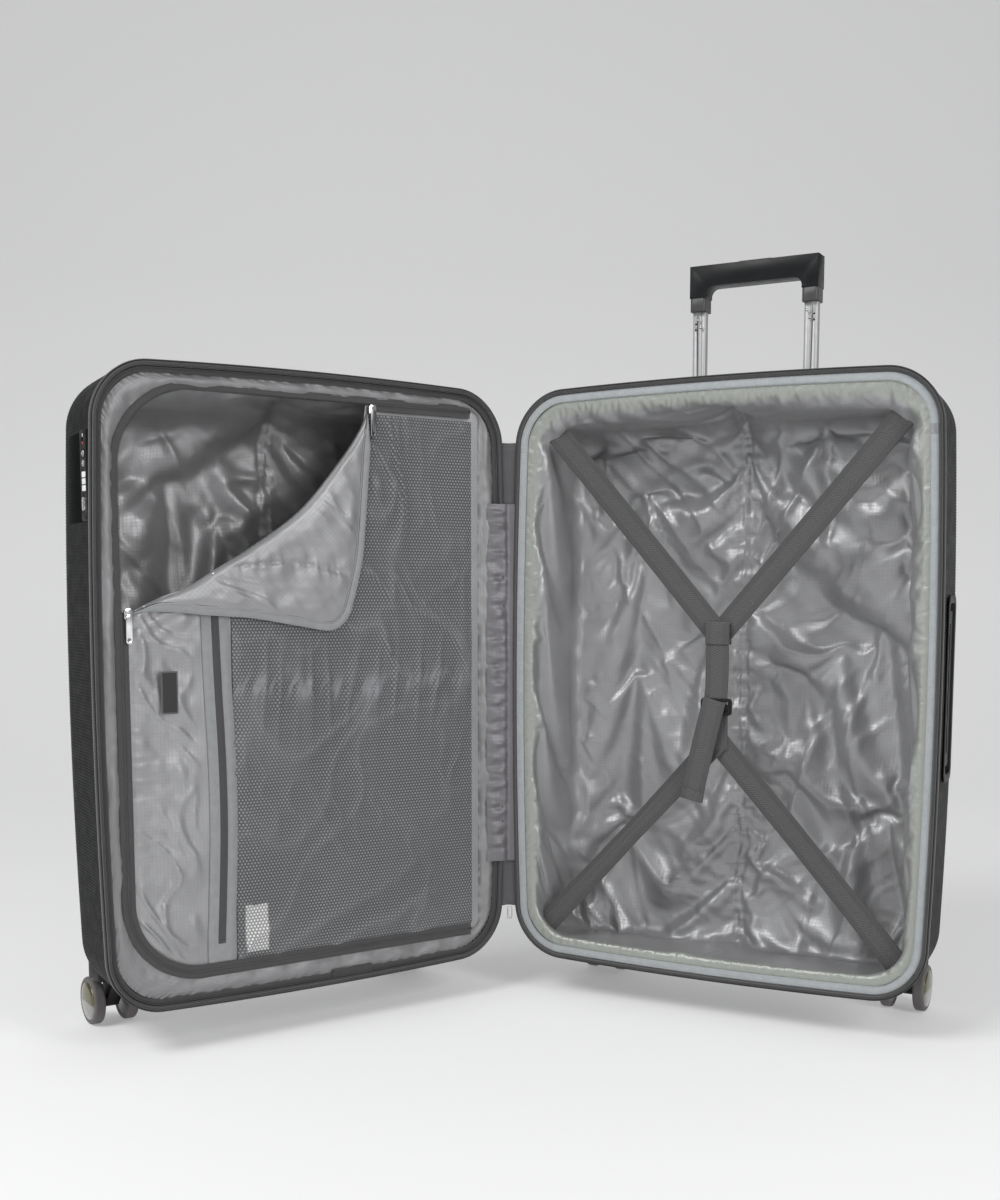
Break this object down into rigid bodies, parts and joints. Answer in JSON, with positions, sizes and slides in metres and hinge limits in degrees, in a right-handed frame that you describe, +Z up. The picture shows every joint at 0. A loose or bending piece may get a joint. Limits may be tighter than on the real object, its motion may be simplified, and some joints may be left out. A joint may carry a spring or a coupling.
{
  "type": "hard shell suitcase",
  "caption": "Upright hard shell suitcase on twin-wheel casters, opened like a book, with a pull-out trolley handle, cross straps, a zipped divider and a lock.",
  "frame": {"origin": "middle of the opened case's outline on the floor", "axes": "+Z up; +X along the width of the base shell away from the hinge; +Y towards the back of the base shell, where the trolley handle is"},
  "size_m": [0.9143, 0.6609, 0.902],
  "materials": {
    "shell": "near-black moulded shell with fine horizontal ribs",
    "rim_tape": "dark woven zip tape",
    "binding": "light grey ribbed binding tape, stitched",
    "lining": "light grey satin lining",
    "mesh": "grey knitted mesh",
    "label": "plain woven label",
    "webbing": "dark grey woven webbing",
    "black_plastic": "black moulded plastic",
    "grip_plastic": "dark grey moulded plastic, fine texture",
    "collar_plastic": "grey plastic, satin",
    "tube_aluminium": "satin anodised",
    "steel": "plated steel",
    "zip_metal": "nickel plated",
    "dial_plastic": "white",
    "hub_plastic": "grey hub with a bright cap",
    "tyre": "warm grey polyurethane"
  },
  "bodies": {
    "base": {"base_shell": "shell", "base_rim": "rim_tape", "base_binding": "binding", "base_lining": "lining", "hinge_strip": "rim_tape", "base_side_feet": "black_plastic", "handle_housing": "black_plastic", "outer_tubes": "tube_aluminium", "tube_bracket": "black_plastic", "upper_cross_straps": "webbing", "lower_cross_straps": "webbing", "centre_strap": "webbing", "strap_buckle": "black_plastic", "carry_handle_cups": "black_plastic", "carry_handle_pins": "steel", "base_caster_housings": "black_plastic", "base_screws": "steel"},
    "top_carry_handle": {"top_carry_handle": "grip_plastic"},
    "side_carry_handle": {"side_carry_handle": "grip_plastic"},
    "trolley_middle": {"middle_tubes": "tube_aluminium"},
    "trolley_inner": {"inner_tubes": "tube_aluminium", "grip": "grip_plastic", "grip_collars": "collar_plastic"},
    "release": {"release_button": "grip_plastic", "push_rods": "steel"},
    "lid": {"lid_shell": "shell", "lid_rim": "rim_tape", "lid_side_feet": "black_plastic", "lid_lining": "lining", "divider_border": "binding", "divider_panel": "lining", "divider_zip": "rim_tape", "divider_flap": "lining", "mesh_pocket": "mesh", "pocket_zip": "rim_tape", "sewn_labels": "label", "hinge_cover": "binding", "divider_sliders": "zip_metal", "lock_body": "black_plastic", "lid_caster_housings": "black_plastic", "lid_screws": "steel"},
    "side_pull": {"side_slider_pull": "zip_metal"},
    "top_pull": {"top_slider_pull": "zip_metal"},
    "pocket_slider": {"pocket_slider": "zip_metal"},
    "dial_1": {"lock_dial_1": "dial_plastic"},
    "dial_2": {"lock_dial_2": "dial_plastic"},
    "dial_3": {"lock_dial_3": "dial_plastic"},
    "lock_button": {"lock_button": "zip_metal"},
    "caster_1": {"fork_1": "black_plastic"},
    "wheel_1": {"wheels_1": "hub_plastic", "tyres_1": "tyre"},
    "caster_2": {"fork_2": "black_plastic"},
    "wheel_2": {"wheels_2": "hub_plastic", "tyres_2": "tyre"},
    "caster_3": {"fork_3": "black_plastic"},
    "wheel_3": {"wheels_3": "hub_plastic", "tyres_3": "tyre"},
    "caster_4": {"fork_4": "black_plastic"},
    "wheel_4": {"wheels_4": "hub_plastic", "tyres_4": "tyre"}
  },
  "joints": [
    {"name": "lid_hinge", "type": "hinge", "parent": "base", "child": "lid", "pos_m": [-0.068, 0.138, 0.398], "axis": [0, 0, 1], "range_deg": [-63.5, 116.5]},
    {"name": "trolley_lower", "type": "slide", "parent": "base", "child": "trolley_middle", "axis": [0, 0, 1], "range_m": [0, 0.19]},
    {"name": "trolley_upper", "type": "slide", "parent": "trolley_middle", "child": "trolley_inner", "axis": [0, 0, 1], "range_m": [-0.155, 0.035]},
    {"name": "release_press", "type": "slide", "parent": "trolley_inner", "child": "release", "axis": [0, 0, -1], "range_m": [0, 0.003], "stiffness_N_per_m": 600, "springref_m": -0.004},
    {"name": "top_handle_swing", "type": "hinge", "parent": "base", "child": "top_carry_handle", "pos_m": [0.196, 0.19371, 0.7402], "axis": [1, 0, 0], "range_deg": [0, 95]},
    {"name": "side_handle_swing", "type": "hinge", "parent": "base", "child": "side_carry_handle", "pos_m": [0.4482, 0.19371, 0.398], "axis": [0, 0, -1], "range_deg": [0, 95]},
    {"name": "side_pull_swing", "type": "hinge", "parent": "lid", "child": "side_pull", "pos_m": [-0.28763, -0.29444, 0.4812], "axis": [-0.4462, -0.8949, 0], "range_deg": [0, 90]},
    {"name": "top_pull_swing", "type": "hinge", "parent": "lid", "child": "top_pull", "pos_m": [-0.15511, -0.02864, 0.7122], "axis": [-0.4462, -0.8949, 0], "range_deg": [0, 90]},
    {"name": "pocket_slider_run", "type": "slide", "parent": "lid", "child": "pocket_slider", "axis": [0, 0, -1], "range_m": [0, 0.38]},
    {"name": "dial_1_turn", "type": "hinge", "parent": "lid", "child": "dial_1", "pos_m": [-0.31636, -0.31531, 0.612], "axis": [0, 0, 1], "continuous": true},
    {"name": "dial_2_turn", "type": "hinge", "parent": "lid", "child": "dial_2", "pos_m": [-0.31636, -0.31531, 0.619], "axis": [0, 0, 1], "continuous": true},
    {"name": "dial_3_turn", "type": "hinge", "parent": "lid", "child": "dial_3", "pos_m": [-0.31636, -0.31531, 0.626], "axis": [0, 0, 1], "continuous": true},
    {"name": "lock_button_press", "type": "slide", "parent": "lid", "child": "lock_button", "axis": [0.4462, 0.8949, 0], "range_m": [0, 0.002], "stiffness_N_per_m": 300, "springref_m": -0.001},
    {"name": "caster_1_swivel", "type": "hinge", "parent": "base", "child": "caster_1", "pos_m": [0.394, 0.276, 0.06], "axis": [0, 0, 1], "continuous": true},
    {"name": "wheel_1_spin", "type": "hinge", "parent": "caster_1", "child": "wheel_1", "pos_m": [0.394, 0.302, 0.028], "axis": [1, 0, 0], "continuous": true},
    {"name": "caster_2_swivel", "type": "hinge", "parent": "base", "child": "caster_2", "pos_m": [-0.002, 0.276, 0.06], "axis": [0, 0, 1], "continuous": true},
    {"name": "wheel_2_spin", "type": "hinge", "parent": "caster_2", "child": "wheel_2", "pos_m": [-0.002, 0.302, 0.028], "axis": [1, 0, 0], "continuous": true},
    {"name": "caster_3_swivel", "type": "hinge", "parent": "lid", "child": "caster_3", "pos_m": [-0.39764, -0.21388, 0.06], "axis": [0, 0, 1], "continuous": true},
    {"name": "wheel_3_spin", "type": "hinge", "parent": "caster_3", "child": "wheel_3", "pos_m": [-0.42091, -0.20228, 0.028], "axis": [-0.4462, -0.8949, 0], "continuous": true},
    {"name": "caster_4_swivel", "type": "hinge", "parent": "lid", "child": "caster_4", "pos_m": [-0.22095, 0.14051, 0.06], "axis": [0, 0, 1], "continuous": true},
    {"name": "wheel_4_spin", "type": "hinge", "parent": "caster_4", "child": "wheel_4", "pos_m": [-0.24422, 0.15211, 0.028], "axis": [-0.4462, -0.8949, 0], "continuous": true}
  ]
}
